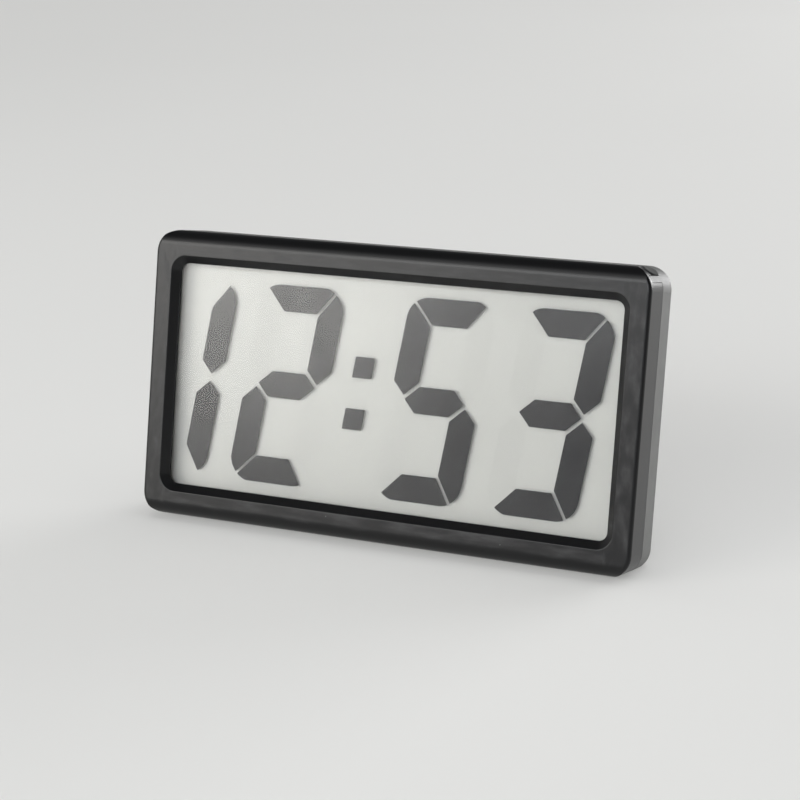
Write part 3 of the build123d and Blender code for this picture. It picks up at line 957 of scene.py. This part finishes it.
@dataclass
class RearCase(SubAssembly):
    """The rear shell with its door, leg and keys."""

    stance: Stance = Stance()
    back: float = 11.8 * MM
    key_places: tuple[float, float] = (27.1 * MM, 37.1 * MM)
    key_height: float = -8 * MM
    collar_outer: float = 3.5 * MM
    collar_bore: float = 2.35 * MM
    collar_rise: float = 0.3 * MM
    collar_sides: int = 72
    sunk: float = 0.2 * MM
    edge_round: float = 0.14 * MM
    edge_round_share: float = 0.6
    edge_slack: float = 0.014 * MM
    end_facing: float = 0.9
    door_height: float = 11.7 * MM
    door_back: float = 11.7 * MM
    door_mark_reach: float = 9.6 * MM
    cover_mark_reach: float = 14.4 * MM
    open_turn: float = math.radians(45)
    mark_radius: float = 0.6 * MM
    mark_bore: float = 0.3 * MM
    mark_rise: float = 0.12 * MM
    mark_sides: int = 40

    def _disc(self, name: str, radius: float, rise: float, place: Place, sides: int) -> Bench:
        """Lay a round blank on the back.

        Args:
            name: The piece's name.
            radius: Its radius.
            rise: How far it stands out of the back.
            place: Its place on the upright case: right, back, and up, where back is the surface.
            sides: The corners of its outline.

        Returns:
            The bench with the blank on it.
        """
        Bench.clear()
        across, surface, height = place
        middle = surface + (rise - self.sunk) / 2
        bpy.ops.mesh.primitive_cylinder_add(
            vertices=sides,
            radius=radius,
            depth=rise + self.sunk,
            location=self.stance.point(across, middle, height),
            rotation=self.stance.turn_to_back(),
        )
        return Bench(name)

    def _ring(self, bench: Bench, radius: float, bore: float, rise: float) -> None:
        """Open a blank into a ring with soft upper edges.

        Args:
            bench: The bench with the blank.
            radius: The blank's radius.
            bore: The opening's radius.
            rise: How far the ring stands out of the back.
        """
        bench.pick_faces(lambda centre, normal: abs(normal.z) > self.end_facing)
        bpy.ops.mesh.inset(thickness=radius - bore, depth=0)
        bpy.ops.mesh.bridge_edge_loops()
        self._soften(bench, rise)

    def _soften(self, bench: Bench, rise: float) -> None:
        """Round the edges that stand out of the back.

        Args:
            bench: The bench with the piece.
            rise: How far the piece stands out of the back.
        """
        top = (rise + self.sunk) / 2

        def on_rim(one: Vector, other: Vector) -> bool:
            """Whether an edge runs round the top, and not across it."""
            level = min(one.z, other.z) > top - self.edge_slack
            return level and abs(one.xy.length - other.xy.length) < self.edge_slack

        bench.pick_edges(on_rim)
        offset = min(self.edge_round, rise * self.edge_round_share)
        bpy.ops.mesh.bevel(offset=offset, segments=3, affect="EDGES")

    def key_collars(self) -> list[bpy.types.Object]:
        """Raised rings round the two keys, so that they are found by touch.

        Returns:
            The two rings.
        """
        first, second = self.key_places
        place = (first, self.back, self.key_height)
        bench = self._disc("set_key_collar", self.collar_outer, self.collar_rise, place, self.collar_sides)
        self._ring(bench, self.collar_outer, self.collar_bore, self.collar_rise)
        collar = bench.finish()
        Bench.clear()
        collar.select_set(True)
        bpy.ops.object.duplicate(linked=False)
        bpy.ops.transform.translate(value=(second - first, 0, 0))
        return [collar, Bench("adjust_key_collar").finish()]

    def turn_mark(self, mark: Mark) -> bpy.types.Object:
        """A raised mark on the cover that the door's own mark points at.

        Args:
            mark: A full dot for the locked door, a small ring for the open one.

        Returns:
            The mark.
        """
        turn = self.open_turn if mark is Mark.OPEN else 0.0
        place = (
            self.cover_mark_reach * math.cos(turn),
            self.back,
            self.door_height - self.cover_mark_reach * math.sin(turn),
        )
        bench = self._disc(f"{mark.value}_mark", self.mark_radius, self.mark_rise, place, self.mark_sides)
        if mark is Mark.OPEN:
            self._ring(bench, self.mark_radius, self.mark_bore, self.mark_rise)
        else:
            self._soften(bench, self.mark_rise)
        return bench.finish()

    def door_mark(self) -> bpy.types.Object:
        """The raised dot on the door.

        Returns:
            The dot.
        """
        place = (self.door_mark_reach, self.door_back, self.door_height)
        bench = self._disc("door_mark", self.mark_radius, self.mark_rise, place, self.mark_sides)
        self._soften(bench, self.mark_rise)
        return bench.finish()

    def dress(self) -> None:
        """Add the collars and marks, and give the back its finishes."""
        for piece in self.key_collars() + [self.turn_mark(mark) for mark in Mark]:
            self.add(piece, Finishes.COVER, "case", "cover_grey")
        self.add(self.door_mark(), Finishes.COVER, "door", "cover_grey")
        self.wear({
            "rear_cover": Finishes.COVER,
            "battery_door": Finishes.COVER,
            "stand": Finishes.COVER,
            "set_button": Finishes.KEY,
            "adjust_button": Finishes.KEY,
        })


@dataclass(frozen=True)
class Softbox:
    """A soft rectangular lamp that looks at the clock."""

    name: str
    place: Place
    width: float
    height: float
    radiance: float
    colour: Colour = (1, 1, 1)
    sight: Sight = Sight.ALL

    def build(self, target: Vector) -> None:
        """Add the lamp.

        Args:
            target: The point that it faces.
        """
        data = bpy.data.lights.new(self.name, "AREA")
        data.shape = "RECTANGLE"
        data.size = self.width
        data.size_y = self.height
        data.energy = self.radiance * self.width * self.height * math.pi
        data.color = self.colour
        lamp = bpy.data.objects.new(self.name, data)
        lamp.location = self.place
        lamp.rotation_euler = (target - Vector(self.place)).to_track_quat("-Z", "Y").to_euler()
        lamp.visible_glossy = self.sight is not Sight.DIFFUSE_ONLY
        lamp.visible_diffuse = self.sight is not Sight.GLOSSY_ONLY
        bpy.context.scene.collection.objects.link(lamp)
        LOG.info("%s: lamp", self.name)


@dataclass(frozen=True)
class Studio:
    """A pale floor under soft light, as plain as the photograph's."""

    floor_size: float = 40.0
    floor_colour: Colour = (0.81, 0.81, 0.795)
    paper_cloud: float = 0.4
    paper_drift: float = 0.01
    paper_roughness: float = 0.85
    glow: float = 0.76
    glow_share: float = 0.3
    near: float = 0.5
    far: float = 2.5
    room_colour: Colour = (0.97, 0.985, 1)
    horizon: float = 0.2
    zenith: float = 0.09
    horizon_rise: float = 0.1
    zenith_rise: float = 0.75
    aim: Place = (0, 0, 0.025)
    lamps: tuple[Softbox, ...] = (
        Softbox("front_left_softbox", (-0.87, -1.0, 0.41), 0.84, 0.6, 6.2, (1, 0.98, 0.94)),
        Softbox("front_softbox", (0.02, -1.22, 0.54), 1.2, 0.44, 5.1, (0.95, 0.975, 1)),
        Softbox("right_softbox", (0.75, 1.15, 0.28), 1.1, 0.54, 8.4),
        Softbox("overhead_softbox", (0.2, 0.2, 1.7), 3.0, 2.2, 0.85, sight=Sight.DIFFUSE_ONLY),
        Softbox("front_card", (-0.1, -0.95, 0.95), 1.6, 0.7, 1.1, sight=Sight.GLOSSY_ONLY),
    )

    def build(self) -> None:
        """Add floor, world and lamps."""
        self._floor()
        self._world()
        for lamp in self.lamps:
            lamp.build(Vector(self.aim))

    def _floor(self) -> None:
        """A large plain sheet under the clock."""
        Bench.clear()
        bpy.ops.mesh.primitive_plane_add(size=self.floor_size, location=(0, 0, 0))
        floor = bpy.context.object
        floor.name = "floor"
        floor.data.materials.append(self._paper())
        LOG.info("floor: stage")

    def _paper(self) -> bpy.types.Material:
        """The floor's paper.

        Returns:
            Matt paper that glows a little where it is seen, and fully so far away.
        """
        graph = ShaderGraph("floor_paper")
        dark = shaded(self.floor_colour, 1 - self.paper_drift)
        light = shaded(self.floor_colour, 1 + self.paper_drift)
        base = graph.ramp(graph.noise(self.paper_cloud, 2), dark, light)
        reach = graph.measure("LENGTH", graph.coords)
        share = graph.spread(reach, self.near, self.far, self.glow_share, 1.0)
        path = graph.node("ShaderNodeLightPath").outputs
        straight = graph.maths("ADD", path["Is Camera Ray"], path["Is Transmission Ray"])
        mirrored = graph.maths("MULTIPLY", path["Is Glossy Ray"], self.glow_share)
        seen = graph.maths("ADD", graph.maths("MULTIPLY", straight, share), mirrored)
        paper = graph.principled(Base_Color=base, Roughness=self.paper_roughness)
        strength = self.glow / self.floor_colour[0]
        shine = graph.node("ShaderNodeEmission", Color=base, Strength=strength).outputs[0]
        return graph.close(graph.blend(seen, paper, shine))

    def _world(self) -> None:
        """Dim light all round, darker overhead, that the camera sees in the floor's pale tone."""
        graph = WorldGraph("studio_world")
        rise = graph.node("ShaderNodeSeparateXYZ", Vector=graph.coords).outputs["Z"]
        level = graph.spread(rise, self.horizon_rise, self.zenith_rise, self.horizon, self.zenith)
        level.node.interpolation_type = "SMOOTHSTEP"
        room = graph.node("ShaderNodeBackground", Color=(*self.room_colour, 1), Strength=level).outputs[0]
        tone = shaded(self.floor_colour, self.glow / self.floor_colour[0])
        pale = graph.node("ShaderNodeBackground", Color=(*tone, 1)).outputs[0]
        path = graph.node("ShaderNodeLightPath").outputs
        straight = graph.maths("ADD", path["Is Camera Ray"], path["Is Transmission Ray"])
        bpy.context.scene.world = graph.close(graph.blend(straight, room, pale))


@dataclass(frozen=True)
class PhotoCamera:
    """The camera at the photograph's angle."""

    place: Place = (0.150, -0.3161, 0.12797)
    right: Place = (0.9065, 0.4217, -0.0204)
    up: Place = (-0.1021, 0.2658, 0.9586)
    lens: float = 93.87
    sensor: float = 36
    nearest: float = 0.02

    def build(self) -> None:
        """Add the camera and make it the scene's."""
        data = bpy.data.cameras.new("photo_camera")
        data.lens = self.lens
        data.sensor_width = self.sensor
        data.clip_start = self.nearest
        camera = bpy.data.objects.new("photo_camera", data)
        x_axis = Vector(self.right).normalized()
        z_axis = x_axis.cross(Vector(self.up)).normalized()
        y_axis = z_axis.cross(x_axis)
        turn = Matrix((x_axis, y_axis, z_axis)).transposed().to_4x4()
        camera.matrix_world = Matrix.Translation(self.place) @ turn
        bpy.context.scene.collection.objects.link(camera)
        bpy.context.scene.camera = camera


def main() -> None:
    """Dress the clock, piece by piece, then set up camera and studio."""
    logging.basicConfig(level=logging.INFO, format="%(name)s %(message)s")
    scene = bpy.context.scene
    scene.view_settings.view_transform = "Standard"
    scene.cycles.transparent_max_bounces = CLEAR_LAYERS
    finishes = Finishes()
    for group in (FrontCase, DisplayCell, Electronics, RearCase):
        group(frame["nodes"], finishes).dress()
    PhotoCamera().build()
    Studio().build()


if __name__ == "__main__":
    main()
